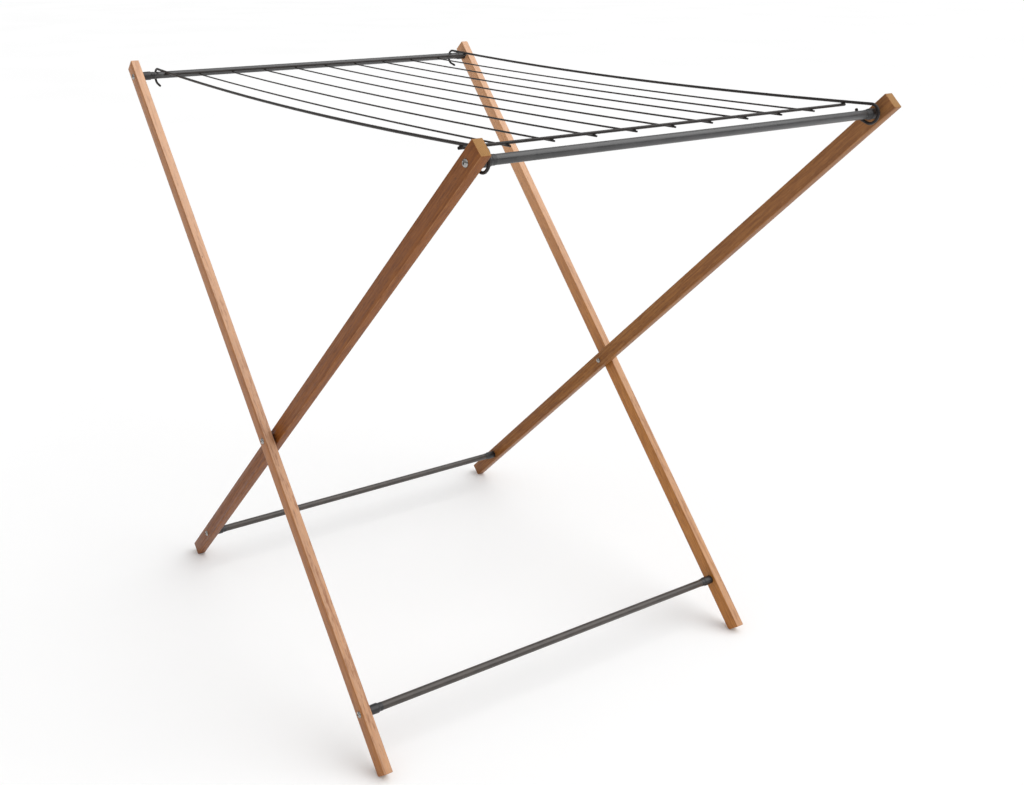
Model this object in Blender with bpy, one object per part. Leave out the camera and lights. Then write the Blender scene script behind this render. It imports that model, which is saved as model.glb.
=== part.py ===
"""Folding clothes drying rack: two crossed timber frames, steel cross rails and a hooked wire drying grid.

Axes: +X along the rails, -Y the front, +Z up. The origin is on the floor at the centre of the
footprint. The outer frame leans back at the top, and the inner frame leans forward.
"""

import math

import bmesh
import bpy
from mathutils import Matrix

# Timber legs
LEG_LENGTH = 1.550
LEG_DEPTH = 0.030
LEG_THICKNESS = 0.018
LEG_EDGE = 0.0015
OUTER_LEG_X = 0.443
INNER_LEG_X = 0.420
SPREAD = math.radians(43.126)
PIVOT_FROM_FOOT = 0.647
TOP_RAIL_FROM_PIVOT = 0.871
BOTTOM_RAIL_FROM_PIVOT = 0.537
FOOT_TRIM = 0.002

# Steel rails and their end fittings
RAIL_RADIUS = 0.0075
RAIL_BORE_RADIUS = 0.0060
FITTING_RADIUS = 0.00925
FITTING_MOUTH_RADIUS = 0.0083
FITTING_LENGTH = 0.0290
FITTING_TAPER = 0.0070
FITTING_WALL = 0.0120

# Bolts, washers and nuts
BOLT_RADIUS = 0.0030
BOLT_HOLE_RADIUS = 0.0033
BOLT_HEAD_RADIUS = 0.0062
BOLT_HEAD_HEIGHT = 0.0034
BOLT_INTO_FITTING = 0.0100
NUT_RADIUS = 0.0055
NUT_HEIGHT = 0.0050
NUT_DEPTH = 0.0035
WASHER_RADIUS = 0.0080

# Wire grid
SIDE_WIRE_RADIUS = 0.0025
THIN_WIRE_RADIUS = 0.0015
SIDE_WIRE_X = 0.397
CROSS_WIRE_END_X = 0.402
CROSS_WIRE_FROM_RAIL = 0.054
THIN_WIRE_OVERHANG = 0.0065
THIN_WIRES = 9
HOOK_RADIUS = 0.016
GRID_MIDDLE_RISE = 0.0035
FRONT_LOOP_DEPTH = 0.0145
FRONT_LOOP_LIFT = 0.0005
FRONT_LOOP_TURN = math.radians(300.0)
LEFT_LOOP_LEAN = 0.0045
LEFT_LOOP_LEAN_DONE = 0.25
RIGHT_LOOP_TAIL_DRAW = 0.020
RIGHT_LOOP_TAIL_START = 0.70
BACK_HOOK_SET_FORWARD = 0.003
BACK_HOOK_DROP = 0.0025
BACK_HOOK_TURN = math.radians(168.0)
BACK_HOOK_TAIL = 0.015

# Clearance kept between touching pieces
GAP = 0.0003

# Round shapes
ROUND_SIDES = 16
RAIL_SIDES = 24
BORE_SIDES = 16
HEAD_RINGS = 3
HOOK_STEP = math.radians(12.0)
SIDE_WIRE_SPANS = 14
SIDE_WIRE_BEVEL = 3
THIN_WIRE_BEVEL = 2

# Derived positions
PIVOT_Z = PIVOT_FROM_FOOT * math.cos(SPREAD) + 0.5 * LEG_DEPTH * math.sin(SPREAD) - FOOT_TRIM
TOP_RAIL_Y = TOP_RAIL_FROM_PIVOT * math.sin(SPREAD)
TOP_RAIL_Z = PIVOT_Z + TOP_RAIL_FROM_PIVOT * math.cos(SPREAD)
GRID_DEPTH = 2.0 * TOP_RAIL_Y
CROSS_WIRE_DROP = 2.0 * SIDE_WIRE_RADIUS + GAP
THIN_WIRE_DROP = CROSS_WIRE_DROP + SIDE_WIRE_RADIUS + THIN_WIRE_RADIUS + GAP
QUARTER_TURN = Matrix.Rotation(0.5 * math.pi, 3, "Y")


def clear_scene():
    for item in list(bpy.data.objects):
        bpy.data.objects.remove(item, do_unlink=True)


def principled(name, colour, roughness, metallic):
    material = bpy.data.materials.new(name)
    material.use_nodes = True
    shader = material.node_tree.nodes["Principled BSDF"]
    shader.inputs["Base Color"].default_value = (*colour, 1.0)
    shader.inputs["Roughness"].default_value = roughness
    shader.inputs["Metallic"].default_value = metallic
    material.diffuse_color = (*colour, 1.0)
    return material


def oak_material():
    return principled("oak", (0.55, 0.30, 0.15), 0.55, 0.0)


def rail_material():
    return principled("rail_coating", (0.075, 0.080, 0.085), 0.40, 0.6)


def fitting_material():
    return principled("fitting_coating", (0.050, 0.053, 0.056), 0.45, 0.5)


def wire_material():
    return principled("wire_coating", (0.050, 0.044, 0.038), 0.42, 0.4)


def bolt_material():
    return principled("zinc_steel", (0.62, 0.61, 0.59), 0.28, 1.0)


def washer_material():
    return principled("washer_nylon", (0.03, 0.03, 0.03), 0.50, 0.0)


def empty(name, location, lean=0.0):
    item = bpy.data.objects.new(name, None)
    item.empty_display_size = 0.1
    item.location = location
    item.rotation_euler = (lean, 0.0, 0.0)
    bpy.context.collection.objects.link(item)
    return item


def place(name, data, parent, location, material, turn=0.0):
    item = bpy.data.objects.new(name, data)
    bpy.context.collection.objects.link(item)
    item.parent = parent
    item.location = location
    item.rotation_euler = (0.0, 0.0, turn)
    if material is not None:
        data.materials.append(material)
    return item


def finish_mesh(name, shape, smooth):
    bmesh.ops.remove_doubles(shape, verts=shape.verts, dist=0.000001)
    bmesh.ops.recalc_face_normals(shape, faces=shape.faces)
    mesh = bpy.data.meshes.new(name)
    shape.to_mesh(mesh)
    shape.free()
    if smooth:
        mesh.shade_smooth()
        mesh.set_sharp_from_angle(angle=math.radians(35.0))
    return mesh


def turned_mesh(name, profile, sides, closed):
    """Turn a profile of (x, radius) points round the X axis."""
    shape = bmesh.new()
    verts = [shape.verts.new((x, radius, 0.0)) for x, radius in profile]
    edges = [shape.edges.new(pair) for pair in zip(verts, verts[1:])]
    if closed:
        edges.append(shape.edges.new((verts[-1], verts[0])))
    bmesh.ops.spin(
        shape,
        geom=verts + edges,
        cent=(0.0, 0.0, 0.0),
        axis=(1.0, 0.0, 0.0),
        angle=2.0 * math.pi,
        steps=sides,
        use_merge=True,
        use_duplicate=False,
    )
    return finish_mesh(name, shape, True)


def leg_mesh(name, lean):
    """A straight batten with eased long edges, its origin at the pivot and its foot trimmed level."""
    half_x = 0.5 * LEG_THICKNESS
    half_y = 0.5 * LEG_DEPTH
    corners = (
        (half_x, half_y - LEG_EDGE),
        (half_x - LEG_EDGE, half_y),
        (LEG_EDGE - half_x, half_y),
        (-half_x, half_y - LEG_EDGE),
        (-half_x, LEG_EDGE - half_y),
        (LEG_EDGE - half_x, -half_y),
        (half_x - LEG_EDGE, -half_y),
        (half_x, LEG_EDGE - half_y),
    )
    shape = bmesh.new()
    ring = [shape.verts.new((x, y, -PIVOT_FROM_FOOT)) for x, y in corners]
    base = shape.faces.new(ring)
    extruded = bmesh.ops.extrude_face_region(shape, geom=[base])
    moved = [item for item in extruded["geom"] if isinstance(item, bmesh.types.BMVert)]
    bmesh.ops.translate(shape, verts=moved, vec=(0.0, 0.0, LEG_LENGTH))
    floor_normal = (0.0, -math.sin(lean), -math.cos(lean))
    floor_point = tuple(PIVOT_Z * part for part in floor_normal)
    cut = bmesh.ops.bisect_plane(
        shape,
        geom=shape.verts[:] + shape.edges[:] + shape.faces[:],
        plane_co=floor_point,
        plane_no=floor_normal,
        clear_outer=True,
    )
    rim = [item for item in cut["geom_cut"] if isinstance(item, bmesh.types.BMEdge)]
    bmesh.ops.contextual_create(shape, geom=rim)
    return finish_mesh(name, shape, False)


def bore_cutter(name, parent, x):
    """Three short cylinders along X: the pivot bore and the two rail bores of one leg."""
    shape = bmesh.new()
    for height in (TOP_RAIL_FROM_PIVOT, 0.0, -BOTTOM_RAIL_FROM_PIVOT):
        made = bmesh.ops.create_cone(
            shape,
            cap_ends=True,
            segments=BORE_SIDES,
            radius1=BOLT_HOLE_RADIUS,
            radius2=BOLT_HOLE_RADIUS,
            depth=2.0 * LEG_THICKNESS,
        )
        bmesh.ops.rotate(shape, verts=made["verts"], cent=(0.0, 0.0, 0.0), matrix=QUARTER_TURN)
        bmesh.ops.translate(shape, verts=made["verts"], vec=(0.0, 0.0, height))
    cutter = place(name, finish_mesh(name, shape, False), parent, (x, 0.0, 0.0), None)
    cutter.hide_render = True
    cutter.display_type = "WIRE"
    return cutter


def add_leg(name, parent, lean, x, material):
    leg = place(name, leg_mesh(name, lean), parent, (x, 0.0, 0.0), material)
    cutter = bore_cutter(name + "_bores", parent, x)
    bores = leg.modifiers.new("bores", "BOOLEAN")
    bores.operation = "DIFFERENCE"
    bores.object = cutter
    return leg


def rail_mesh(name, half_length):
    profile = (
        (-half_length, RAIL_BORE_RADIUS),
        (-half_length, RAIL_RADIUS),
        (half_length, RAIL_RADIUS),
        (half_length, RAIL_BORE_RADIUS),
    )
    return turned_mesh(name, profile, RAIL_SIDES, True)


def fitting_mesh(name):
    """End cup of a rail, its closed end at x = 0 and its mouth towards +X."""
    profile = (
        (0.0, BOLT_HOLE_RADIUS),
        (0.0, FITTING_RADIUS),
        (FITTING_LENGTH - FITTING_TAPER, FITTING_RADIUS),
        (FITTING_LENGTH, FITTING_MOUTH_RADIUS),
        (FITTING_LENGTH, RAIL_RADIUS + GAP),
        (FITTING_WALL, RAIL_RADIUS + GAP),
        (FITTING_WALL, BOLT_HOLE_RADIUS),
    )
    return turned_mesh(name, profile, ROUND_SIDES, True)


def bolt_mesh(name, shank):
    """Button-head bolt, the underside of its head at x = 0 and its shank towards +X."""
    profile = [(-BOLT_HEAD_HEIGHT, 0.0)]
    for ring in range(1, HEAD_RINGS + 1):
        angle = 0.5 * math.pi * ring / (HEAD_RINGS + 1)
        profile.append((-BOLT_HEAD_HEIGHT * math.cos(angle), BOLT_HEAD_RADIUS * math.sin(angle)))
    profile.append((0.0, BOLT_HEAD_RADIUS))
    profile.append((0.0, BOLT_RADIUS))
    profile.append((shank, BOLT_RADIUS))
    profile.append((shank, 0.0))
    return turned_mesh(name, profile, ROUND_SIDES, False)


def nut_mesh(name):
    """Dome nut, its open face at x = 0 and its dome towards +X."""
    profile = [(NUT_DEPTH, 0.0), (NUT_DEPTH, BOLT_HOLE_RADIUS), (0.0, BOLT_HOLE_RADIUS), (0.0, NUT_RADIUS)]
    for ring in range(1, HEAD_RINGS + 1):
        angle = 0.5 * math.pi * ring / (HEAD_RINGS + 1)
        profile.append((NUT_HEIGHT * math.sin(angle), NUT_RADIUS * math.cos(angle)))
    profile.append((NUT_HEIGHT, 0.0))
    return turned_mesh(name, profile, ROUND_SIDES, False)


def washer_mesh(name, length):
    profile = (
        (-0.5 * length, BOLT_HOLE_RADIUS),
        (-0.5 * length, WASHER_RADIUS),
        (0.5 * length, WASHER_RADIUS),
        (0.5 * length, BOLT_HOLE_RADIUS),
    )
    return turned_mesh(name, profile, ROUND_SIDES, True)


def add_rail(name, parent, leg_x, height, rail_coat, fitting_coat, steel):
    inner_face = leg_x - 0.5 * LEG_THICKNESS
    outer_face = leg_x + 0.5 * LEG_THICKNESS
    half_length = inner_face - GAP - FITTING_WALL - GAP
    place(name, rail_mesh(name, half_length), parent, (0.0, 0.0, height), rail_coat)
    shank = LEG_THICKNESS + 2.0 * GAP + BOLT_INTO_FITTING
    for side, sign in (("left", -1.0), ("right", 1.0)):
        turn = 0.0 if sign < 0.0 else math.pi
        fitting = name + "_fitting_" + side
        location = (sign * (inner_face - GAP), 0.0, height)
        place(fitting, fitting_mesh(fitting), parent, location, fitting_coat, turn)
        bolt = name + "_bolt_" + side
        location = (sign * (outer_face + GAP), 0.0, height)
        place(bolt, bolt_mesh(bolt, shank), parent, location, steel, turn)


def add_frame(name, lean, leg_x, oak, rail_coat, fitting_coat, steel):
    parent = empty(name + "_pivot", (0.0, 0.0, PIVOT_Z), lean)
    for side, sign in (("left", -1.0), ("right", 1.0)):
        add_leg(name + "_leg_" + side, parent, lean, sign * leg_x, oak)
    add_rail(name + "_top_rail", parent, leg_x, TOP_RAIL_FROM_PIVOT, rail_coat, fitting_coat, steel)
    add_rail(name + "_bottom_rail", parent, leg_x, -BOTTOM_RAIL_FROM_PIVOT, rail_coat, fitting_coat, steel)
    return parent


def add_pivots(outer, inner, steel, nylon):
    outer_face = OUTER_LEG_X + 0.5 * LEG_THICKNESS
    slot = OUTER_LEG_X - INNER_LEG_X - LEG_THICKNESS
    nut_face = INNER_LEG_X - 0.5 * LEG_THICKNESS - GAP
    shank = outer_face + GAP - nut_face + NUT_DEPTH - 2.0 * GAP
    for side, sign in (("left", -1.0), ("right", 1.0)):
        turn = 0.0 if sign < 0.0 else math.pi
        bolt = "pivot_bolt_" + side
        place(bolt, bolt_mesh(bolt, shank), outer, (sign * (outer_face + GAP), 0.0, 0.0), steel, turn)
        washer = "pivot_washer_" + side
        middle = 0.5 * (OUTER_LEG_X + INNER_LEG_X)
        place(washer, washer_mesh(washer, slot - 2.0 * GAP), outer, (sign * middle, 0.0, 0.0), nylon)
        nut = "pivot_nut_" + side
        place(nut, nut_mesh(nut), inner, (sign * nut_face, 0.0, 0.0), steel, turn)


def grid_rise(depth):
    """Height of the side wires over the rail axes, at a depth measured from the front rail."""
    front = HOOK_RADIUS + FRONT_LOOP_LIFT
    back = HOOK_RADIUS - BACK_HOOK_DROP
    across = 2.0 * depth / GRID_DEPTH - 1.0
    bow = 0.5 * (front + back) - GRID_MIDDLE_RISE
    return GRID_MIDDLE_RISE + 0.5 * (back - front) * across + bow * across * across


def thin_wire_ends():
    """Depth and height of the thin wires' two tips, on the straight line just under both cross wires."""
    near, far = CROSS_WIRE_FROM_RAIL, GRID_DEPTH - CROSS_WIRE_FROM_RAIL
    front = grid_rise(near) - THIN_WIRE_DROP
    slope = (grid_rise(far) - THIN_WIRE_DROP - front) / (far - near)
    tips = (near - THIN_WIRE_OVERHANG, far + THIN_WIRE_OVERHANG)
    return [(depth, front + slope * (depth - near)) for depth in tips]


def loop_slide(part, sign):
    """Sideways bend of a front loop: the left one leans out whole, the right one draws its tip inwards."""
    if sign < 0.0:
        return -LEFT_LOOP_LEAN * min(1.0, part / LEFT_LOOP_LEAN_DONE)
    return -RIGHT_LOOP_TAIL_DRAW * max(0.0, part - RIGHT_LOOP_TAIL_START) / (1.0 - RIGHT_LOOP_TAIL_START)


def grid_slope(depth):
    step = 0.0005
    return math.atan2(grid_rise(depth + step) - grid_rise(depth - step), 2.0 * step)


def side_wire_points(sign):
    """Path from the tip of the front loop, over the sagging run, to the tip of the back hook."""
    points = []
    x = sign * SIDE_WIRE_X
    start = -grid_slope(0.0)
    steps = math.ceil(FRONT_LOOP_TURN / HOOK_STEP)
    for index in range(steps, 0, -1):
        part = index / steps
        angle = start - FRONT_LOOP_TURN * part
        height = FRONT_LOOP_LIFT + HOOK_RADIUS * math.cos(angle)
        points.append((x + loop_slide(part, sign), FRONT_LOOP_DEPTH * math.sin(angle), height))
    run_start = FRONT_LOOP_DEPTH * math.sin(start)
    hook_y = GRID_DEPTH - BACK_HOOK_SET_FORWARD
    hook_z = -BACK_HOOK_DROP
    begin = -grid_slope(GRID_DEPTH)
    run_end = hook_y + HOOK_RADIUS * math.sin(begin)
    for index in range(SIDE_WIRE_SPANS):
        depth = run_start + (run_end - run_start) * index / SIDE_WIRE_SPANS
        points.append((x, depth, grid_rise(depth)))
    steps = math.ceil(BACK_HOOK_TURN / HOOK_STEP)
    for index in range(steps + 1):
        angle = begin + BACK_HOOK_TURN * index / steps
        points.append((x, hook_y + HOOK_RADIUS * math.sin(angle), hook_z + HOOK_RADIUS * math.cos(angle)))
    angle = begin + BACK_HOOK_TURN
    tail_y = points[-1][1] + BACK_HOOK_TAIL * math.cos(angle)
    tail_z = points[-1][2] - BACK_HOOK_TAIL * math.sin(angle)
    points.append((x, tail_y, tail_z))
    return points


def add_wire(name, parent, points, radius, bevel, material):
    curve = bpy.data.curves.new(name, "CURVE")
    curve.dimensions = "3D"
    curve.bevel_depth = radius
    curve.bevel_resolution = bevel
    curve.use_fill_caps = True
    curve.twist_mode = "MINIMUM"
    spline = curve.splines.new("POLY")
    spline.points.add(len(points) - 1)
    for target, point in zip(spline.points, points):
        target.co = (*point, 1.0)
    spline.use_smooth = True
    return place(name, curve, parent, (0.0, 0.0, 0.0), material)


def add_grid(material):
    parent = empty("wire_grid_hinge", (0.0, -TOP_RAIL_Y, TOP_RAIL_Z))
    for side, sign in (("left", -1.0), ("right", 1.0)):
        points = side_wire_points(sign)
        add_wire("side_wire_" + side, parent, points, SIDE_WIRE_RADIUS, SIDE_WIRE_BEVEL, material)
    for side, depth in (("front", CROSS_WIRE_FROM_RAIL), ("back", GRID_DEPTH - CROSS_WIRE_FROM_RAIL)):
        height = grid_rise(depth) - CROSS_WIRE_DROP
        points = [(-CROSS_WIRE_END_X, depth, height), (CROSS_WIRE_END_X, depth, height)]
        add_wire("cross_wire_" + side, parent, points, SIDE_WIRE_RADIUS, SIDE_WIRE_BEVEL, material)
    pitch = 2.0 * SIDE_WIRE_X / (THIN_WIRES + 1)
    for index in range(THIN_WIRES):
        x = pitch * (index + 1) - SIDE_WIRE_X
        points = [(x, depth, height) for depth, height in thin_wire_ends()]
        name = "thin_wire_" + str(index + 1)
        add_wire(name, parent, points, THIN_WIRE_RADIUS, THIN_WIRE_BEVEL, material)


def main():
    clear_scene()
    oak = oak_material()
    rail_coat = rail_material()
    fitting_coat = fitting_material()
    steel = bolt_material()
    outer = add_frame("outer", -SPREAD, OUTER_LEG_X, oak, rail_coat, fitting_coat, steel)
    inner = add_frame("inner", SPREAD, INNER_LEG_X, oak, rail_coat, fitting_coat, steel)
    add_pivots(outer, inner, steel, washer_material())
    add_grid(wire_material())
    bpy.context.view_layer.update()


main()
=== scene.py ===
"""Looks for the folding clothes drying rack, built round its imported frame."""

import math

import bmesh
import bpy
from mathutils import Matrix, Vector


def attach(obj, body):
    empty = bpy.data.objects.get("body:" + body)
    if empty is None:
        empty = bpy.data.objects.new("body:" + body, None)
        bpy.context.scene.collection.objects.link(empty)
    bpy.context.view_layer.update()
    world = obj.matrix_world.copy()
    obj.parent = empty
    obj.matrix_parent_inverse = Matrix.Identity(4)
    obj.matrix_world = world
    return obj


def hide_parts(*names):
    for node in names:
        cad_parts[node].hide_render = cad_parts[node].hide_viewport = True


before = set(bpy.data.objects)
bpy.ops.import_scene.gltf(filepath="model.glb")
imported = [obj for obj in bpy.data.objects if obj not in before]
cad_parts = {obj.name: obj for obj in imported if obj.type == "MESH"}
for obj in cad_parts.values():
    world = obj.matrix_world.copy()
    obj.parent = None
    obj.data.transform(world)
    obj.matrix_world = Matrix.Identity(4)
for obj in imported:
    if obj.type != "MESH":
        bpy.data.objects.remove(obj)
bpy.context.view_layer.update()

# Timber legs
LEG_LENGTH = 1.550
LEG_DEPTH = 0.030
LEG_THICKNESS = 0.018
LEG_EDGE = 0.0013
OUTER_LEG_X = 0.443
INNER_LEG_X = 0.420
SPREAD = math.radians(43.126)
PIVOT_FROM_FOOT = 0.647
TOP_RAIL_FROM_PIVOT = 0.871
BOTTOM_RAIL_FROM_PIVOT = 0.537
FOOT_TRIM = 0.002

# Steel rails, end fittings and fasteners
RAIL_RADIUS = 0.0075
RAIL_BORE_RADIUS = 0.0060
FITTING_RADIUS = 0.00925
FITTING_COLLAR_RADIUS = 0.0079
FITTING_LENGTH = 0.0290
FITTING_BODY = 0.0215
FITTING_WALL = 0.0120
BOLT_RADIUS = 0.0030
BOLT_HOLE_RADIUS = 0.0033
BOLT_HEAD_RADIUS = 0.0062
BOLT_HEAD_HEIGHT = 0.0034
BOLT_INTO_FITTING = 0.0100
SOCKET_RADIUS = 0.0023
SOCKET_DEPTH = 0.0016
NUT_RADIUS = 0.0055
NUT_HEIGHT = 0.0050
NUT_DEPTH = 0.0035
WASHER_RADIUS = 0.0080

# Wire grid
SIDE_WIRE_RADIUS = 0.0025
THIN_WIRE_RADIUS = 0.0015
SIDE_WIRE_X = 0.397
CROSS_WIRE_END_X = 0.402
CROSS_WIRE_FROM_RAIL = 0.054
THIN_WIRE_OVERHANG = 0.0065
THIN_WIRES = 9
HOOK_RADIUS = 0.016
GRID_MIDDLE_RISE = 0.0035
THIN_WIRE_MIDDLE_RISE = -0.0022
FRONT_LOOP_DEPTH = 0.0145
FRONT_LOOP_LIFT = 0.0005
FRONT_LOOP_TURN = math.radians(300.0)
LEFT_LOOP_LEAN = 0.0045
LEFT_LOOP_LEAN_DONE = 0.25
RIGHT_LOOP_TAIL_DRAW = 0.020
RIGHT_LOOP_TAIL_START = 0.70
BACK_HOOK_SET_FORWARD = 0.003
BACK_HOOK_DROP = 0.0025
BACK_HOOK_TURN = math.radians(168.0)
BACK_HOOK_TAIL = 0.015

GAP = 0.0003

# Derived positions
PIVOT_Z = PIVOT_FROM_FOOT * math.cos(SPREAD) + 0.5 * LEG_DEPTH * math.sin(SPREAD) - FOOT_TRIM
TOP_RAIL_Y = TOP_RAIL_FROM_PIVOT * math.sin(SPREAD)
TOP_RAIL_Z = PIVOT_Z + TOP_RAIL_FROM_PIVOT * math.cos(SPREAD)
GRID_DEPTH = 2.0 * TOP_RAIL_Y
CROSS_WIRE_DROP = 2.0 * SIDE_WIRE_RADIUS + GAP
THIN_WIRE_DROP = CROSS_WIRE_DROP + SIDE_WIRE_RADIUS + THIN_WIRE_RADIUS + GAP

# Light
KEY_FROM = (0.46, -0.41, 0.79)
KEY_STRENGTH = 1.9
KEY_WIDTH = math.radians(70.0)
SKY_AT_HORIZON = 0.25
SKY_OVERHEAD = 0.75
SKY_FULL_AT = 0.8
FLOOR_HALF_SIZE = 90.0
FLOOR_DROP = 0.0002

# Camera
CAMERA_SENSOR = 36.0
CAMERA_LENS = 38.61
CAMERA_SHIFT = (0.17371, -0.04306)
CAMERA_CLIP = (0.05, 100.0)
CAMERA_PLACE = (-1.2877, -1.7565)
CAMERA_OVER_PIVOT = 0.9077
CAMERA_RIGHT = Vector((0.86850382, -0.49564326, -0.00623535))
CAMERA_DOWN = Vector((-0.1768293, -0.29805305, -0.9380276))
CAMERA_FORWARD = Vector((0.46306859, 0.81578314, -0.34650446))

# Edges that catch the light
SHARP_EDGE = math.radians(32.0)
DOME_RINGS = 10

# Fineness of the round surfaces
TURN_SIDES = 48
WIRE_SIDES = 16
HOOK_STEP = math.radians(5.0)
SIDE_WIRE_SPANS = 40
THIN_WIRE_SPANS = 28


# ---------------------------------------------------------------- shader helpers


class Graph:
    """A small wrapper that adds nodes to one material and links what is passed in."""

    def __init__(self, name):
        self.material = bpy.data.materials.new(name)
        self.material.use_nodes = True
        self.tree = self.material.node_tree
        self.shader = self.tree.nodes["Principled BSDF"]

    def put(self, socket, value):
        if isinstance(value, bpy.types.NodeSocket):
            self.tree.links.new(value, socket)
        elif value is not None:
            socket.default_value = value

    def node(self, kind, **settings):
        item = self.tree.nodes.new(kind)
        for key, value in settings.items():
            setattr(item, key, value)
        return item

    def coords(self, output="Object"):
        return self.node("ShaderNodeTexCoord").outputs[output]

    def mapping(self, vector, scale, location=(0.0, 0.0, 0.0)):
        item = self.node("ShaderNodeMapping")
        self.put(item.inputs["Vector"], vector)
        item.inputs["Scale"].default_value = scale
        item.inputs["Location"].default_value = location
        return item.outputs["Vector"]

    def noise(self, vector, scale, detail=3.0, roughness=0.55, distortion=0.0):
        item = self.node("ShaderNodeTexNoise")
        self.put(item.inputs["Vector"], vector)
        item.inputs["Scale"].default_value = scale
        item.inputs["Detail"].default_value = detail
        item.inputs["Roughness"].default_value = roughness
        item.inputs["Distortion"].default_value = distortion
        return item.outputs["Fac"]

    def math(self, operation, a, b=None, c=None, clamp=False):
        item = self.node("ShaderNodeMath", operation=operation, use_clamp=clamp)
        for socket, value in zip(item.inputs, (a, b, c)):
            self.put(socket, value)
        return item.outputs[0]

    def span(self, value, low, high, to_low=0.0, to_high=1.0):
        item = self.node("ShaderNodeMapRange", interpolation_type="SMOOTHSTEP")
        self.put(item.inputs["Value"], value)
        item.inputs["From Min"].default_value = low
        item.inputs["From Max"].default_value = high
        item.inputs["To Min"].default_value = to_low
        item.inputs["To Max"].default_value = to_high
        return item.outputs["Result"]

    def mix(self, factor, a, b, blend="MIX"):
        item = self.node("ShaderNodeMix", data_type="RGBA", blend_type=blend)
        self.put(item.inputs["Factor"], factor)
        self.put(item.inputs["A"], a)
        self.put(item.inputs["B"], b)
        return item.outputs["Result"]

    def separate(self, vector):
        item = self.node("ShaderNodeSeparateXYZ")
        self.put(item.inputs[0], vector)
        return item.outputs

    def combine(self, x, y, z):
        item = self.node("ShaderNodeCombineXYZ")
        for socket, value in zip(item.inputs, (x, y, z)):
            self.put(socket, value)
        return item.outputs[0]

    def bump(self, height, strength, distance, normal=None):
        item = self.node("ShaderNodeBump")
        item.inputs["Strength"].default_value = strength
        item.inputs["Distance"].default_value = distance
        self.put(item.inputs["Height"], height)
        self.put(item.inputs["Normal"], normal)
        return item.outputs["Normal"]

    def finish(self, colour, roughness, normal):
        self.put(self.shader.inputs["Base Color"], colour)
        self.put(self.shader.inputs["Roughness"], roughness)
        self.put(self.shader.inputs["Normal"], normal)
        return self.material


def rgb(red, green, blue):
    return (red, green, blue, 1.0)


# ---------------------------------------------------------------- materials


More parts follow.
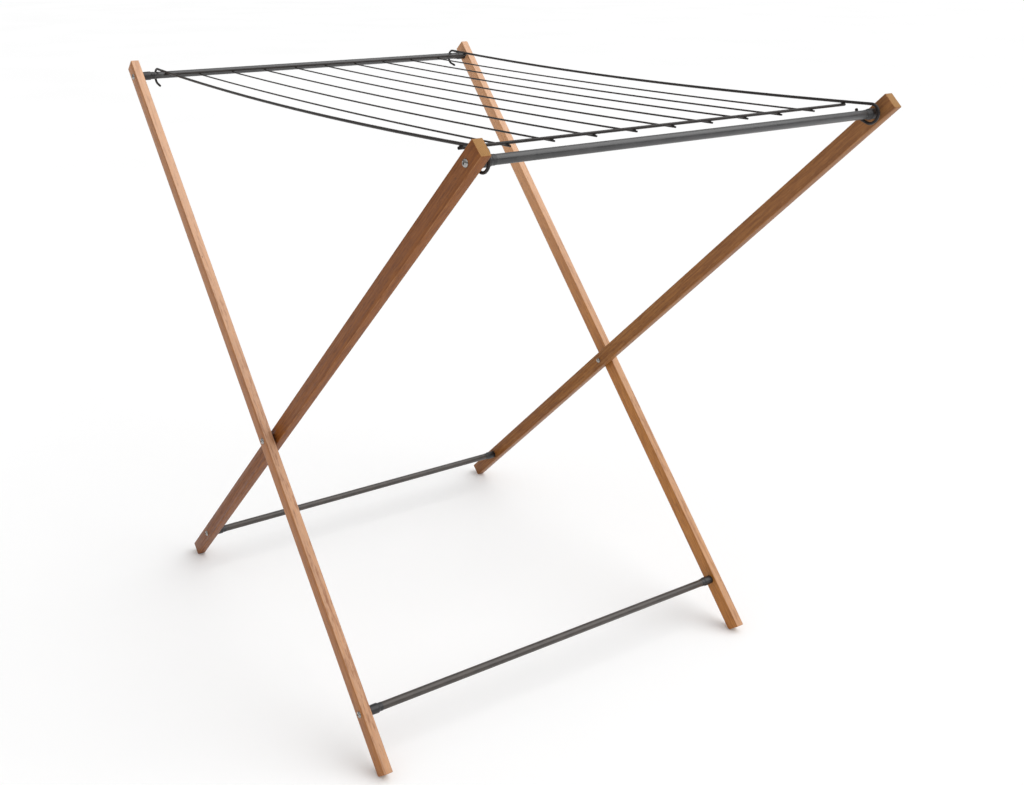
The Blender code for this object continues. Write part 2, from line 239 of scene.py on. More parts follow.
def oak_material(name, seed, tone, depth, sheen_paint, gloss, top_light_paint, sides):
    """Oiled oak, its grain along the object's own Z axis, with a painted sheen on the narrow faces and
    painted light towards its head.
    """
    g = Graph(name)
    place = g.coords()
    shifted = g.mapping(place, (1.0, 1.0, 1.0), (0.37 * seed, 0.21 * seed, 1.9 * seed))
    x, y, z = g.separate(shifted)[:3]

    # growth rings round a pith that lies beside the batten and wanders along it
    wander = g.noise(g.mapping(shifted, (2.0, 2.0, 1.1)), 1.0, 2.0, 0.5)
    ripple = g.noise(g.mapping(shifted, (30.0, 30.0, 5.0)), 1.0, 3.0, 0.6)
    own_x, own_y, own_z = g.separate(place)[:3]
    off_x = g.math("ADD", own_x, 0.021 + 0.004 * seed)
    off_y = g.math("ADD", own_y, 0.034 - 0.006 * seed)
    radius = g.math("SQRT", g.math("ADD", g.math("MULTIPLY", off_x, off_x), g.math("MULTIPLY", off_y, off_y)))
    radius = g.math("MULTIPLY_ADD", wander, 0.026, radius)
    radius = g.math("MULTIPLY_ADD", ripple, 0.0022, radius)
    phase = g.math("MULTIPLY", radius, 2.0 * math.pi / 0.0029)
    wave = g.math("MULTIPLY_ADD", g.math("SINE", phase), 0.5, 0.5)
    ring = g.math("POWER", wave, 2.2)

    # fibres, open pores and pale ray flecks, all drawn out along the grain
    fibre = g.noise(g.mapping(shifted, (900.0, 900.0, 9.0)), 1.0, 4.0, 0.65)
    pores = g.noise(g.mapping(shifted, (620.0, 620.0, 24.0)), 1.0, 2.0, 0.6)
    pore_mask = g.span(pores, 0.60, 0.70)
    pore_mask = g.math("MULTIPLY", pore_mask, g.span(wave, 0.15, 0.75, 0.25, 1.0))
    flecks = g.noise(g.mapping(shifted, (160.0, 330.0, 42.0)), 1.0, 1.0, 0.5)
    fleck_mask = g.math("MULTIPLY", g.span(flecks, 0.63, 0.72), 0.35)
    broad = g.noise(g.mapping(shifted, (7.0, 7.0, 1.7)), 1.0, 2.0, 0.5)
    streak = g.noise(g.mapping(shifted, (130.0, 130.0, 1.6)), 1.0, 3.0, 0.6)

    light = rgb(0.47 * tone[0], 0.182 * tone[1], 0.040 * tone[2])
    middle = rgb(0.36 * tone[0], 0.121 * tone[1], 0.023 * tone[2])
    dark = rgb(0.20 * tone[0], 0.060 * tone[1], 0.012 * tone[2])
    colour = g.mix(g.span(broad, 0.30, 0.70), light, middle)
    colour = g.mix(g.math("MULTIPLY", ring, 0.42 * depth), colour, dark)
    colour = g.mix(g.math("MULTIPLY", g.span(streak, 0.45, 0.75), 0.42 * depth), colour, middle)
    colour = g.mix(g.span(fibre, 0.35, 0.75, 0.0, 0.34 * depth), colour, dark)
    colour = g.mix(fleck_mask, colour, rgb(0.54 * tone[0], 0.24 * tone[1], 0.070 * tone[2]))
    colour = g.mix(g.math("MULTIPLY", pore_mask, 0.50), colour, rgb(0.13, 0.055, 0.025))

    # short dashes of summer wood, and a painted sheen that lightens the narrow faces
    facing_y = g.math("ABSOLUTE", g.separate(g.coords("Normal"))[1])
    painted_sheen = g.span(facing_y, 0.5, 0.9, 0.0, sheen_paint)
    colour = g.mix(painted_sheen, colour, rgb(0.66, 0.46, 0.33))
    dashes = g.noise(g.mapping(shifted, (300.0, 300.0, 34.0)), 1.0, 3.0, 0.7)
    colour = g.mix(g.span(dashes, 0.50, 0.66, 0.0, 0.58 * depth), colour, dark)
    colour = g.mix(g.span(dashes, 0.34, 0.48, 0.40 * depth, 0.0), colour, light)
    figure = g.noise(g.mapping(shifted, (150.0, 150.0, 7.0)), 1.0, 3.0, 0.6)
    colour = g.mix(g.span(figure, 0.52, 0.68, 0.0, 0.45 * depth), colour, dark)

    # painted light: the batten is lightened from its pivot to its head, and its wide sides by a share of that
    painted_top_light = g.span(own_z, -0.15, 0.80, 0.0, top_light_paint)
    painted_top_light = g.math("MULTIPLY", painted_top_light, g.span(facing_y, 0.5, 0.9, sides, 1.0))
    colour = g.mix(painted_top_light, colour, rgb(0.96, 0.61, 0.41))

    # end grain: drier, yellower, and pitted instead of streaked
    facing = g.math("ABSOLUTE", g.separate(g.coords("Normal"))[2])
    end = g.span(facing, 0.80, 0.95)
    pits = g.noise(g.mapping(shifted, (900.0, 900.0, 900.0)), 1.0, 2.0, 0.6)
    end_colour = g.mix(g.math("MULTIPLY", ring, 0.45), rgb(0.40, 0.215, 0.080), rgb(0.23, 0.105, 0.038))
    end_colour = g.mix(g.span(pits, 0.56, 0.70, 0.0, 0.55), end_colour, rgb(0.14, 0.065, 0.028))
    colour = g.mix(end, colour, end_colour)

    # handled edges: rubbed paler along the arrises, with a few dark knocks
    edge_x = g.span(g.math("ABSOLUTE", own_x), 0.5 * LEG_THICKNESS - 0.0016, 0.5 * LEG_THICKNESS - 0.0002)
    edge_y = g.span(g.math("ABSOLUTE", own_y), 0.5 * LEG_DEPTH - 0.0016, 0.5 * LEG_DEPTH - 0.0002)
    edge = g.math("MULTIPLY", edge_x, edge_y)
    rubbed = g.noise(g.mapping(shifted, (60.0, 60.0, 22.0)), 1.0, 3.0, 0.6)
    worn = g.math("MULTIPLY", edge, g.span(rubbed, 0.35, 0.65, 0.1, 0.6))
    colour = g.mix(worn, colour, rgb(0.50, 0.26, 0.125))
    knocks = g.noise(g.mapping(shifted, (210.0, 210.0, 90.0)), 1.0, 2.0, 0.5)
    knocks = g.span(knocks, 0.70, 0.76, 0.0, 0.6)
    knocked = g.math("MULTIPLY", knocks, g.math("MAXIMUM", edge_x, edge_y))
    colour = g.mix(knocked, colour, rgb(0.16, 0.075, 0.035))

    roughness = g.span(fibre, 0.3, 0.7, 0.31, 0.42)
    roughness = g.math("MULTIPLY_ADD", pore_mask, 0.20, roughness)
    roughness = g.math("MULTIPLY_ADD", end, 0.18, roughness, clamp=True)
    relief = g.math("MULTIPLY_ADD", pore_mask, -1.0, g.math("MULTIPLY", fibre, 0.45))
    relief = g.math("MULTIPLY_ADD", g.math("MULTIPLY", pits, end), -0.8, relief)
    relief = g.math("MULTIPLY_ADD", ring, 0.25, relief)
    normal = g.bump(relief, 0.45, 0.00022)
    g.shader.inputs["Specular IOR Level"].default_value = gloss
    return g.finish(colour, roughness, normal)


def coating_material(name, base, lift, metallic, roughness, grain, seed, specular):
    """Powder or dip coating over steel: fine orange peel, faint mottling and rubbed specks."""
    g = Graph(name)
    place = g.mapping(g.coords(), (1.0, 1.0, 1.0), (0.7 * seed, 1.3 * seed, 0.4 * seed))
    peel = g.noise(place, grain, 2.0, 0.5)
    sparkle = g.noise(place, grain * 2.6, 1.0, 0.5)
    mottle = g.noise(place, 38.0, 4.0, 0.6)
    rub = g.noise(g.mapping(place, (14.0, 60.0, 60.0)), 1.0, 4.0, 0.65)
    colour = g.mix(g.span(mottle, 0.32, 0.70), rgb(*base), rgb(*lift))
    bright = rgb(*(min(1.0, 2.3 * part) for part in lift))
    worn = rgb(*(min(1.0, 1.9 * part) for part in lift))
    colour = g.mix(g.span(sparkle, 0.62, 0.74, 0.0, 0.30), colour, bright)
    colour = g.mix(g.span(rub, 0.66, 0.80, 0.0, 0.28), colour, worn)
    shine = g.span(mottle, 0.25, 0.75, roughness - 0.05, roughness + 0.07)
    shine = g.math("MULTIPLY_ADD", g.span(rub, 0.62, 0.80), -0.10, shine)
    normal = g.bump(peel, 0.32, 0.00012)
    g.shader.inputs["Metallic"].default_value = metallic
    g.shader.inputs["Specular IOR Level"].default_value = specular
    return g.finish(colour, shine, normal)


def steel_material(name, seed):
    """Bright zinc plate with turning marks round the object's own X axis."""
    g = Graph(name)
    place = g.coords()
    x, y, z = g.separate(place)[:3]
    radius = g.math("SQRT", g.math("ADD", g.math("MULTIPLY", y, y), g.math("MULTIPLY", z, z)))
    turning = g.combine(g.math("MULTIPLY", radius, 2600.0), g.math("MULTIPLY", x, 900.0), seed)
    rings = g.noise(turning, 1.0, 2.0, 0.6)
    cloud = g.noise(place, 420.0, 3.0, 0.6)
    tarnish = g.noise(place, 190.0, 4.0, 0.65)
    colour = g.mix(g.span(cloud, 0.3, 0.7), rgb(0.42, 0.41, 0.39), rgb(0.27, 0.26, 0.25))
    colour = g.mix(g.span(tarnish, 0.58, 0.74, 0.0, 0.5), colour, rgb(0.18, 0.165, 0.15))
    roughness = g.span(rings, 0.3, 0.7, 0.12, 0.26)
    roughness = g.math("MULTIPLY_ADD", g.span(tarnish, 0.55, 0.75), 0.15, roughness)
    normal = g.bump(rings, 0.16, 0.00005)
    g.shader.inputs["Metallic"].default_value = 1.0
    return g.finish(colour, roughness, normal)


def nylon_material():
    g = Graph("washer_nylon")
    place = g.coords()
    grain = g.noise(place, 1500.0, 2.0, 0.5)
    dust = g.noise(place, 240.0, 3.0, 0.6)
    colour = g.mix(g.span(dust, 0.45, 0.75), rgb(0.020, 0.020, 0.021), rgb(0.050, 0.047, 0.044))
    roughness = g.span(dust, 0.3, 0.7, 0.48, 0.62)
    return g.finish(colour, roughness, g.bump(grain, 0.25, 0.00008))


def floor_material():
    g = Graph("floor_paint")
    place = g.coords()
    cloud = g.noise(place, 0.7, 3.0, 0.5)
    fine = g.noise(place, 260.0, 2.0, 0.5)
    colour = g.mix(g.span(cloud, 0.3, 0.7), rgb(0.90, 0.90, 0.90), rgb(0.92, 0.92, 0.92))
    return g.finish(colour, 0.85, g.bump(fine, 0.05, 0.0002))


# ---------------------------------------------------------------- mesh helpers


def link(name, mesh, material, smooth_angle=30.0):
    item = bpy.data.objects.new(name, mesh)
    bpy.context.scene.collection.objects.link(item)
    if material is not None:
        mesh.materials.append(material)
    if smooth_angle is not None:
        mesh.shade_smooth()
        mesh.set_sharp_from_angle(angle=math.radians(smooth_angle))
    return item


def to_mesh(name, shape):
    bmesh.ops.remove_doubles(shape, verts=shape.verts, dist=0.0000005)
    bmesh.ops.recalc_face_normals(shape, faces=shape.faces)
    mesh = bpy.data.meshes.new(name)
    shape.to_mesh(mesh)
    shape.free()
    return mesh


def turned(name, profile, closed, sides=TURN_SIDES):
    """Turn a profile of (x, radius) points round the X axis."""
    shape = bmesh.new()
    verts = [shape.verts.new((x, radius, 0.0)) for x, radius in profile]
    edges = [shape.edges.new(pair) for pair in zip(verts, verts[1:])]
    if closed:
        edges.append(shape.edges.new((verts[-1], verts[0])))
    bmesh.ops.spin(
        shape,
        geom=verts + edges,
        cent=(0.0, 0.0, 0.0),
        axis=(1.0, 0.0, 0.0),
        angle=2.0 * math.pi,
        steps=sides,
        use_merge=True,
        use_duplicate=False,
    )
    return to_mesh(name, shape)


def eased(profile, cut, closed):
    """Replace each corner of a profile by three points on a small round."""
    out = []
    count = len(profile)
    for index, point in enumerate(profile):
        if not closed and index in (0, count - 1):
            out.append(point)
            continue
        here = Vector(point)
        before = Vector(profile[index - 1])
        after = Vector(profile[(index + 1) % count])
        reach = min(cut, 0.45 * (before - here).length, 0.45 * (after - here).length)
        start = here + (before - here).normalized() * reach
        end = here + (after - here).normalized() * reach
        middle = 0.25 * start + 0.5 * here + 0.25 * end
        out.extend([tuple(start), tuple(middle), tuple(end)])
    return out


def baked(item):
    """Apply the object's modifiers and return its finished mesh."""
    bpy.context.view_layer.update()
    graph = bpy.context.evaluated_depsgraph_get()
    mesh = bpy.data.meshes.new_from_object(item.evaluated_get(graph))
    item.modifiers.clear()
    item.data = mesh
    return item


def tube(name, points, radius, sides=WIRE_SIDES, end_rings=4):
    """A round wire along points, with hemispherical ends."""
    points = [Vector(point) for point in points]
    count = len(points)
    tangents = []
    for index in range(count):
        ahead = points[min(index + 1, count - 1)]
        behind = points[max(index - 1, 0)]
        tangents.append((ahead - behind).normalized())
    up = Vector((1.0, 0.0, 0.0))
    if abs(tangents[0].dot(up)) > 0.9:
        up = Vector((0.0, 0.0, 1.0))
    across = tangents[0].cross(up).normalized()
    rings = []
    for step in range(end_rings):
        angle = 0.5 * math.pi * step / end_rings
        centre = points[0] + tangents[0] * (radius * (1.0 - math.cos(0.5 * math.pi - angle)))
        rings.append((centre, tangents[0], radius * math.sin(angle)))
    rings[0] = (points[0], tangents[0], 0.0)
    body = [(points[0] + tangents[0] * radius, tangents[0], radius)]
    body += [(points[index], tangents[index], radius) for index in range(1, count - 1)]
    body.append((points[-1] - tangents[-1] * radius, tangents[-1], radius))
    tail = []
    for step in range(1, end_rings + 1):
        angle = 0.5 * math.pi * (1.0 - step / end_rings)
        centre = points[-1] - tangents[-1] * (radius * (1.0 - math.cos(0.5 * math.pi - angle)))
        tail.append((centre, tangents[-1], radius * math.sin(angle)))
    tail[-1] = (points[-1], tangents[-1], 0.0)
    shape = bmesh.new()
    loops = []
    for centre, tangent, size in rings + body + tail:
        across = (across - tangent * across.dot(tangent)).normalized()
        other = tangent.cross(across)
        if size == 0.0:
            loops.append([shape.verts.new(centre)])
            continue
        loop = []
        for side in range(sides):
            angle = 2.0 * math.pi * side / sides
            loop.append(shape.verts.new(centre + size * (math.cos(angle) * across + math.sin(angle) * other)))
        loops.append(loop)
    for first, second in zip(loops, loops[1:]):
        for side in range(sides):
            after = (side + 1) % sides
            if len(first) == 1:
                shape.faces.new((first[0], second[side], second[after]))
            elif len(second) == 1:
                shape.faces.new((first[side], first[after], second[0]))
            else:
                shape.faces.new((first[side], first[after], second[after], second[side]))
    return to_mesh(name, shape)


def stand(item, body, node):
    """Put a piece in the place of its CAD node."""
    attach(item, body)
    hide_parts(node)
    return item


# ---------------------------------------------------------------- timber legs


def leg(node, body, lean, x, material):
    shape = bmesh.new()
    bmesh.ops.create_cube(shape, size=1.0)
    bmesh.ops.scale(shape, vec=(LEG_THICKNESS, LEG_DEPTH, LEG_LENGTH), verts=shape.verts)
    bmesh.ops.translate(shape, vec=(0.0, 0.0, 0.5 * LEG_LENGTH - PIVOT_FROM_FOOT), verts=shape.verts)
    floor_normal = Vector((0.0, -math.sin(lean), -math.cos(lean)))
    cut = bmesh.ops.bisect_plane(
        shape,
        geom=shape.verts[:] + shape.edges[:] + shape.faces[:],
        plane_co=PIVOT_Z * floor_normal,
        plane_no=floor_normal,
        clear_outer=True,
    )
    rim = [part for part in cut["geom_cut"] if isinstance(part, bmesh.types.BMEdge)]
    bmesh.ops.contextual_create(shape, geom=rim)
    item = link(node + "_timber", to_mesh(node + "_timber", shape), material, None)
    item.location = (x, 0.0, PIVOT_Z)
    item.rotation_euler = (lean, 0.0, 0.0)
    bevel = item.modifiers.new("eased_edges", "BEVEL")
    bevel.width = LEG_EDGE
    bevel.segments = 3
    bevel.limit_method = "ANGLE"
    bores = bmesh.new()
    for height in (TOP_RAIL_FROM_PIVOT, 0.0, -BOTTOM_RAIL_FROM_PIVOT):
        made = bmesh.ops.create_cone(
            bores,
            cap_ends=True,
            segments=TURN_SIDES,
            radius1=BOLT_HOLE_RADIUS,
            radius2=BOLT_HOLE_RADIUS,
            depth=2.0 * LEG_THICKNESS,
        )
        turn = Matrix.Rotation(0.5 * math.pi, 3, "Y")
        bmesh.ops.rotate(bores, verts=made["verts"], cent=(0.0, 0.0, 0.0), matrix=turn)
        bmesh.ops.translate(bores, verts=made["verts"], vec=(0.0, 0.0, height))
    cutter = link(node + "_bores", to_mesh(node + "_bores", bores), None, None)
    cutter.location = item.location
    cutter.rotation_euler = item.rotation_euler
    drill = item.modifiers.new("bores", "BOOLEAN")
    drill.operation = "DIFFERENCE"
    drill.object = cutter
    baked(item)
    bpy.data.objects.remove(cutter)
    item.data.shade_smooth()
    item.data.set_sharp_from_angle(angle=SHARP_EDGE)
    return stand(item, body, node)


# ---------------------------------------------------------------- rails and fasteners


def rail(node, body, lean, leg_x, height, material):
    half = leg_x - 0.5 * LEG_THICKNESS - GAP - FITTING_WALL - GAP
    profile = (
        (-half, RAIL_BORE_RADIUS),
        (-half, RAIL_RADIUS),
        (half, RAIL_RADIUS),
        (half, RAIL_BORE_RADIUS),
    )
    item = link(node + "_tube", turned(node + "_tube", eased(profile, 0.0003, True), True), material)
    put_on_frame(item, lean, 0.0, height, 0.0)
    return stand(item, body, node)


def put_on_frame(item, lean, x, height, turn):
    """Place a piece by its distance along the leaning frame from the pivot."""
    along = Matrix.Translation((x, 0.0, height)) @ Matrix.Rotation(turn, 4, "Z")
    item.matrix_world = Matrix.Translation((0.0, 0.0, PIVOT_Z)) @ (Matrix.Rotation(lean, 4, "X") @ along)


def fitting(node, body, lean, leg_x, sign, height, material):
    profile = (
        (0.0, BOLT_HOLE_RADIUS),
        (0.0, FITTING_RADIUS - 0.0009),
        (0.0006, FITTING_RADIUS - 0.0005),
        (FITTING_BODY - 0.0060, FITTING_RADIUS),
        (FITTING_BODY - 0.0014, FITTING_RADIUS - 0.0001),
        (FITTING_BODY, FITTING_COLLAR_RADIUS),
        (FITTING_LENGTH - 0.0004, FITTING_COLLAR_RADIUS),
        (FITTING_LENGTH, FITTING_COLLAR_RADIUS - 0.0002),
        (FITTING_LENGTH, RAIL_RADIUS + 0.00005),
        (FITTING_WALL, RAIL_RADIUS + 0.00005),
        (FITTING_WALL, BOLT_HOLE_RADIUS),
    )
    item = link(node + "_cup", turned(node + "_cup", eased(profile, 0.0009, True), True), material)
    turn = 0.0 if sign < 0.0 else math.pi
    put_on_frame(item, lean, sign * (leg_x - 0.5 * LEG_THICKNESS - 0.5 * GAP), height, turn)
    return stand(item, body, node)


def bolt(node, body, lean, leg_x, sign, height, shank, material):
    profile = [(-BOLT_HEAD_HEIGHT, 0.0)]
    for ring in range(1, DOME_RINGS):
        angle = 0.5 * math.pi * ring / DOME_RINGS
        profile.append((-BOLT_HEAD_HEIGHT * math.cos(angle), BOLT_HEAD_RADIUS * math.sin(angle)))
    profile.append((-0.0002, BOLT_HEAD_RADIUS))
    profile.append((0.0, BOLT_HEAD_RADIUS - 0.0002))
    profile.append((0.0, BOLT_RADIUS))
    profile.append((shank - 0.0006, BOLT_RADIUS))
    profile.append((shank, BOLT_RADIUS - 0.0006))
    profile.append((shank, 0.0))
    item = link(node + "_steel", turned(node + "_steel", profile, False), material)
    turn = 0.0 if sign < 0.0 else math.pi
    socket = bmesh.new()
    made = bmesh.ops.create_cone(
        socket,
        cap_ends=True,
        segments=6,
        radius1=SOCKET_RADIUS,
        radius2=SOCKET_RADIUS,
        depth=2.0 * SOCKET_DEPTH,
    )
    bmesh.ops.rotate(
        socket, verts=made["verts"], cent=(0.0, 0.0, 0.0), matrix=Matrix.Rotation(0.5 * math.pi, 3, "Y")
    )
    bmesh.ops.translate(socket, verts=made["verts"], vec=(-BOLT_HEAD_HEIGHT, 0.0, 0.0))
    cutter = link(node + "_socket", to_mesh(node + "_socket", socket), None, None)
    cut = item.modifiers.new("socket", "BOOLEAN")
    cut.operation = "DIFFERENCE"
    cut.object = cutter
    baked(item)
    bpy.data.objects.remove(cutter)
    item.data.shade_smooth()
    item.data.set_sharp_from_angle(angle=SHARP_EDGE)
    put_on_frame(item, lean, sign * (leg_x + 0.5 * LEG_THICKNESS + 0.1 * GAP), height, turn)
    return stand(item, body, node)


def nut(node, sign, lean, material):
    profile = [
        (NUT_DEPTH, 0.0),
        (NUT_DEPTH, BOLT_HOLE_RADIUS),
        (0.0, BOLT_HOLE_RADIUS),
        (0.0, NUT_RADIUS - 0.0002),
        (0.0002, NUT_RADIUS),
        (0.0012, NUT_RADIUS),
        (0.0014, NUT_RADIUS - 0.0004),
    ]
    for ring in range(1, DOME_RINGS):
        angle = 0.5 * math.pi * ring / DOME_RINGS
        profile.append(
            (0.0014 + (NUT_HEIGHT - 0.0014) * math.sin(angle), (NUT_RADIUS - 0.0004) * math.cos(angle))
        )
    profile.append((NUT_HEIGHT, 0.0))
    item = link(node + "_steel", turned(node + "_steel", profile, False), material)
    turn = 0.0 if sign < 0.0 else math.pi
    put_on_frame(item, lean, sign * (INNER_LEG_X - 0.5 * LEG_THICKNESS - 0.1 * GAP), 0.0, turn)
    return stand(item, "inner_frame", node)


def washer(node, sign, lean, material):
    half = 0.5 * (OUTER_LEG_X - INNER_LEG_X - LEG_THICKNESS) - 0.5 * GAP
    profile = (
        (-half, BOLT_HOLE_RADIUS),
        (-half, WASHER_RADIUS),
        (half, WASHER_RADIUS),
        (half, BOLT_HOLE_RADIUS),
    )
    item = link(node + "_ring", turned(node + "_ring", eased(profile, 0.0005, True), True), material)
    put_on_frame(item, lean, sign * 0.5 * (OUTER_LEG_X + INNER_LEG_X), 0.0, 0.0)
    return stand(item, "outer_frame", node)


# ---------------------------------------------------------------- wire grid


def grid_rise(depth):
    """Height of the side wires over the rail axes, at a depth measured from the front rail."""
    front = HOOK_RADIUS + FRONT_LOOP_LIFT
    back = HOOK_RADIUS - BACK_HOOK_DROP
    across = 2.0 * depth / GRID_DEPTH - 1.0
    bow = 0.5 * (front + back) - GRID_MIDDLE_RISE
    return GRID_MIDDLE_RISE + 0.5 * (back - front) * across + bow * across * across


def thin_rise(depth):
    """Height of the thin wires, which pass just under both cross wires."""
    across = (depth - 0.5 * GRID_DEPTH) / (0.5 * GRID_DEPTH - CROSS_WIRE_FROM_RAIL)
    front = grid_rise(CROSS_WIRE_FROM_RAIL) - THIN_WIRE_DROP
    back = grid_rise(GRID_DEPTH - CROSS_WIRE_FROM_RAIL) - THIN_WIRE_DROP
    bow = 0.5 * (front + back) - THIN_WIRE_MIDDLE_RISE
    return THIN_WIRE_MIDDLE_RISE + 0.5 * (back - front) * across + bow * across * across


def loop_slide(part, sign):
    """Sideways bend of a front loop: the left one leans out whole, the right one draws its tip inwards."""
    if sign < 0.0:
        return -LEFT_LOOP_LEAN * min(1.0, part / LEFT_LOOP_LEAN_DONE)
    return -RIGHT_LOOP_TAIL_DRAW * max(0.0, part - RIGHT_LOOP_TAIL_START) / (1.0 - RIGHT_LOOP_TAIL_START)


def grid_slope(depth):
    step = 0.0005
    return math.atan2(grid_rise(depth + step) - grid_rise(depth - step), 2.0 * step)


def side_wire_points(sign):
    """Path from the tip of the front loop, over the sagging run, to the tip of the back hook."""
    points = []
    x = sign * SIDE_WIRE_X
    start = -grid_slope(0.0)
    steps = math.ceil(FRONT_LOOP_TURN / HOOK_STEP)
    for index in range(steps, 0, -1):
        part = index / steps
        angle = start - FRONT_LOOP_TURN * part
        height = FRONT_LOOP_LIFT + HOOK_RADIUS * math.cos(angle)
        points.append((x + loop_slide(part, sign), FRONT_LOOP_DEPTH * math.sin(angle), height))
    run_start = FRONT_LOOP_DEPTH * math.sin(start)
    hook_y = GRID_DEPTH - BACK_HOOK_SET_FORWARD
    hook_z = -BACK_HOOK_DROP
    begin = -grid_slope(GRID_DEPTH)
    run_end = hook_y + HOOK_RADIUS * math.sin(begin)
    for index in range(SIDE_WIRE_SPANS):
        depth = run_start + (run_end - run_start) * index / SIDE_WIRE_SPANS
        points.append((x, depth, grid_rise(depth)))
    steps = math.ceil(BACK_HOOK_TURN / HOOK_STEP)
    for index in range(steps + 1):
        angle = begin + BACK_HOOK_TURN * index / steps
        points.append((x, hook_y + HOOK_RADIUS * math.sin(angle), hook_z + HOOK_RADIUS * math.cos(angle)))
    angle = begin + BACK_HOOK_TURN
    for part in (0.5, 1.0):
        reach = part * BACK_HOOK_TAIL
        tail_y = hook_y + HOOK_RADIUS * math.sin(angle) + reach * math.cos(angle)
        tail_z = hook_z + HOOK_RADIUS * math.cos(angle) - reach * math.sin(angle)
        points.append((x, tail_y, tail_z))
    return points


def on_grid(points):
    """Move points from the front rail's axis into the row frame."""
    return [(x, y - TOP_RAIL_Y, z + TOP_RAIL_Z) for x, y, z in points]


def wire(node, points, radius, material):
    mesh = tube(node + "_rod", on_grid(points), radius)
    item = link(node + "_rod", mesh, material, 60.0)
    return stand(item, "wire_grid", node)


def bead(shape, centre, size):
    """One weld bead: a small lens of metal that fills the crotch where two wires touch."""
    made = bmesh.ops.create_icosphere(shape, subdivisions=3, radius=1.0)
    bmesh.ops.scale(shape, vec=size, verts=made["verts"])
    bmesh.ops.translate(shape, vec=centre, verts=made["verts"])


def welds(name, places, material):
    shape = bmesh.new()
    for centre, size in places:
        bead(shape, on_grid([centre])[0], size)
    bmesh.ops.recalc_face_normals(shape, faces=shape.faces)
    mesh = bpy.data.meshes.new(name)
    shape.to_mesh(mesh)
    shape.free()
    item = link(name, mesh, material, 60.0)
    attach(item, "wire_grid")
    return item


def build_grid(coat, weld_coat):
    for side, sign in (("left", -1.0), ("right", 1.0)):
        wire("side_wire_" + side, side_wire_points(sign), SIDE_WIRE_RADIUS, coat)
    pitch = 2.0 * SIDE_WIRE_X / (THIN_WIRES + 1)
    first = CROSS_WIRE_FROM_RAIL - THIN_WIRE_OVERHANG
    last = GRID_DEPTH - first
    lines = [pitch * (index + 1) - SIDE_WIRE_X for index in range(THIN_WIRES)]
    for side, depth in (("front", CROSS_WIRE_FROM_RAIL), ("back", GRID_DEPTH - CROSS_WIRE_FROM_RAIL)):
        height = grid_rise(depth) - CROSS_WIRE_DROP
        ends = [-CROSS_WIRE_END_X, *lines, CROSS_WIRE_END_X]
        wire("cross_wire_" + side, [(x, depth, height) for x in ends], SIDE_WIRE_RADIUS, coat)
        places = []
        for x in lines:
            places.append(((x, depth, height - SIDE_WIRE_RADIUS - 0.5 * GAP), (0.0030, 0.0027, 0.0011)))
        for sign in (-1.0, 1.0):
            top = height + SIDE_WIRE_RADIUS + 0.5 * GAP
            places.append(((sign * SIDE_WIRE_X, depth, top), (0.0033, 0.0034, 0.0014)))
        welds("weld_beads_" + side, places, weld_coat)
    for index, x in enumerate(lines):
        points = []
        for step in range(THIN_WIRE_SPANS + 1):
            depth = first + (last - first) * step / THIN_WIRE_SPANS
            points.append((x, depth, thin_rise(depth)))
        wire("thin_wire_" + str(index + 1), points, THIN_WIRE_RADIUS, coat)


# ---------------------------------------------------------------- assembly


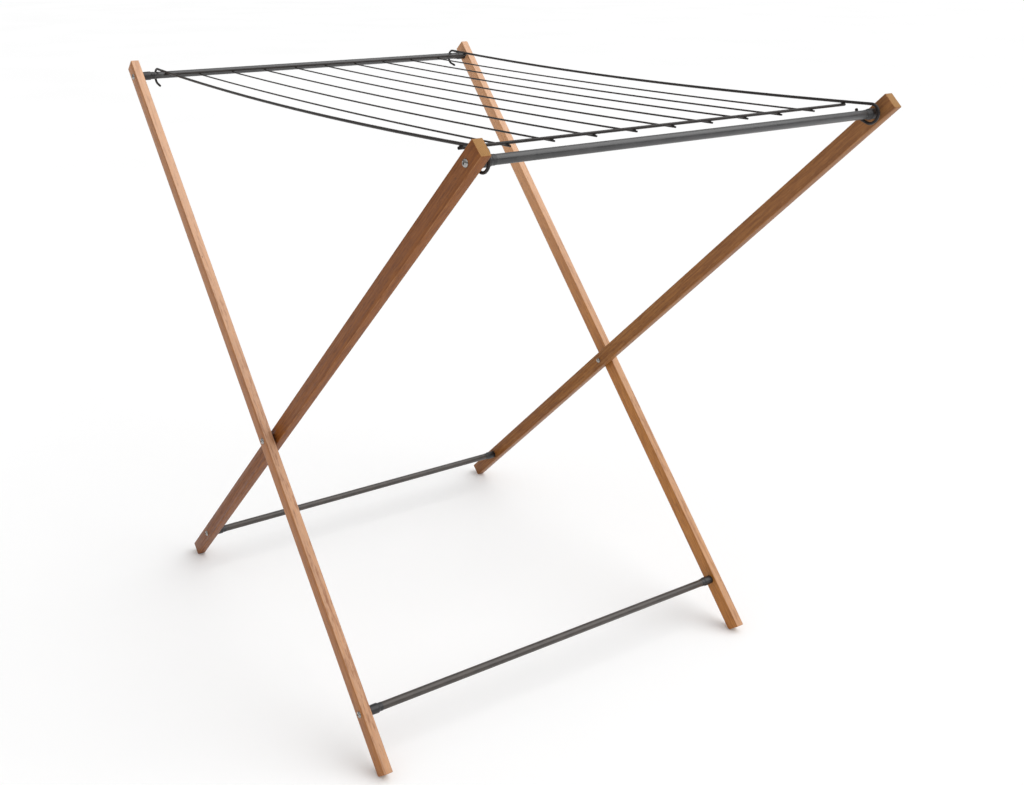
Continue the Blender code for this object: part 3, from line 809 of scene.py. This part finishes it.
def build_object():
    rail_coat = coating_material(
        "rail_coating", (0.036, 0.036, 0.037), (0.056, 0.055, 0.056), 0.12, 0.34, 900.0, 1.0, 0.70
    )
    low_rail_coat = coating_material(
        "low_rail_coating", (0.040, 0.033, 0.029), (0.064, 0.053, 0.046), 0.12, 0.34, 900.0, 5.0, 0.60
    )
    fitting_coat = coating_material(
        "fitting_coating", (0.017, 0.017, 0.018), (0.032, 0.031, 0.032), 0.12, 0.38, 1100.0, 2.0, 0.50
    )
    wire_coat = coating_material(
        "wire_coating", (0.014, 0.011, 0.010), (0.026, 0.020, 0.018), 0.05, 0.38, 1400.0, 3.0, 0.30
    )
    weld_coat = coating_material(
        "weld_coating", (0.012, 0.011, 0.010), (0.022, 0.019, 0.017), 0.05, 0.45, 900.0, 4.0, 0.30
    )
    steel = steel_material("zinc_steel", 1.0)
    nylon = nylon_material()
    # seed, tone, depth of grain, painted sheen on the narrow faces, gloss, painted light towards the head and
    # its share on the sides
    looks = (
        ("outer_leg_left", 1.0, (1.08, 1.06, 0.92), 1.0, 0.48, 0.30, 0.30, 0.0),
        ("outer_leg_right", 2.0, (1.28, 1.40, 1.40), 0.9, 0.44, 0.30, 0.32, 1.0),
        # the inner legs' darker tones are painted shade: the same oak, set darker where less light reaches it
        ("inner_leg_left", 3.0, (0.62, 0.54, 0.46), 1.1, 0.02, 0.08, 0.05, 1.0),
        ("inner_leg_right", 4.0, (0.77, 0.84, 0.98), 1.1, 0.05, 0.12, 0.07, 1.0),
    )
    timbers = {node: oak_material("oak_" + node.replace("_leg", ""), *look) for node, *look in looks}
    shank = LEG_THICKNESS + 2.0 * GAP + BOLT_INTO_FITTING
    nut_face = INNER_LEG_X - 0.5 * LEG_THICKNESS - GAP
    pivot_shank = OUTER_LEG_X + 0.5 * LEG_THICKNESS + GAP - nut_face + NUT_DEPTH - 2.0 * GAP
    for name, lean, leg_x in (("outer", -SPREAD, OUTER_LEG_X), ("inner", SPREAD, INNER_LEG_X)):
        body = name + "_frame"
        for side, sign in (("left", -1.0), ("right", 1.0)):
            node = name + "_leg_" + side
            leg(node, body, lean, sign * leg_x, timbers[node])
        for which, height in (("top", TOP_RAIL_FROM_PIVOT), ("bottom", -BOTTOM_RAIL_FROM_PIVOT)):
            node = name + "_" + which + "_rail"
            rail_body = "front_rail" if node == "inner_top_rail" else body
            rail(node, rail_body, lean, leg_x, height, rail_coat if which == "top" else low_rail_coat)
            for side, sign in (("left", -1.0), ("right", 1.0)):
                fitting(node + "_fitting_" + side, rail_body, lean, leg_x, sign, height, fitting_coat)
                bolt(node + "_bolt_" + side, body, lean, leg_x, sign, height, shank, steel)
    for side, sign in (("left", -1.0), ("right", 1.0)):
        bolt("pivot_bolt_" + side, "outer_frame", -SPREAD, OUTER_LEG_X, sign, 0.0, pivot_shank, steel)
        nut("pivot_nut_" + side, sign, SPREAD, steel)
        washer("pivot_washer_" + side, sign, -SPREAD, nylon)
    build_grid(wire_coat, weld_coat)


# ---------------------------------------------------------------- floor, light and camera


def build_stage():
    shape = bmesh.new()
    bmesh.ops.create_grid(shape, x_segments=1, y_segments=1, size=FLOOR_HALF_SIZE)
    floor = link("floor", to_mesh("floor", shape), floor_material(), None)
    floor.location = (0.0, 0.0, -FLOOR_DROP)

    world = bpy.data.worlds.new("studio")
    world.use_nodes = True
    nodes = world.node_tree.nodes
    sky = nodes.new("ShaderNodeTexCoord")
    parts = nodes.new("ShaderNodeSeparateXYZ")
    rise = nodes.new("ShaderNodeMapRange")
    rise.interpolation_type = "SMOOTHSTEP"
    rise.inputs["From Max"].default_value = SKY_FULL_AT
    rise.inputs["To Min"].default_value = SKY_AT_HORIZON
    rise.inputs["To Max"].default_value = SKY_OVERHEAD
    background = nodes["Background"]
    background.inputs["Color"].default_value = (1.0, 1.0, 1.0, 1.0)
    join = world.node_tree.links.new
    join(sky.outputs["Generated"], parts.inputs[0])
    join(parts.outputs["Z"], rise.inputs["Value"])
    join(rise.outputs["Result"], background.inputs["Strength"])
    bpy.context.scene.world = world


def build_lights():
    """One very broad, soft key light, high on the right of the front."""
    data = bpy.data.lights.new("key", "SUN")
    data.energy = KEY_STRENGTH
    data.angle = KEY_WIDTH
    key = bpy.data.objects.new("key", data)
    key.rotation_euler = Vector(KEY_FROM).to_track_quat("Z", "Y").to_euler()
    bpy.context.scene.collection.objects.link(key)


def build_camera():
    data = bpy.data.cameras.new("camera")
    data.sensor_width = CAMERA_SENSOR
    data.sensor_fit = "HORIZONTAL"
    data.lens = CAMERA_LENS
    data.shift_x, data.shift_y = CAMERA_SHIFT
    data.clip_start, data.clip_end = CAMERA_CLIP
    item = bpy.data.objects.new("camera", data)
    turn = Matrix((CAMERA_RIGHT, -CAMERA_DOWN, -CAMERA_FORWARD)).transposed().to_4x4()
    item.matrix_world = Matrix.Translation((*CAMERA_PLACE, PIVOT_Z + CAMERA_OVER_PIVOT)) @ turn
    bpy.context.scene.collection.objects.link(item)
    bpy.context.scene.camera = item


build_object()
build_stage()
build_lights()
build_camera()
bpy.context.scene.view_settings.view_transform = "Standard"
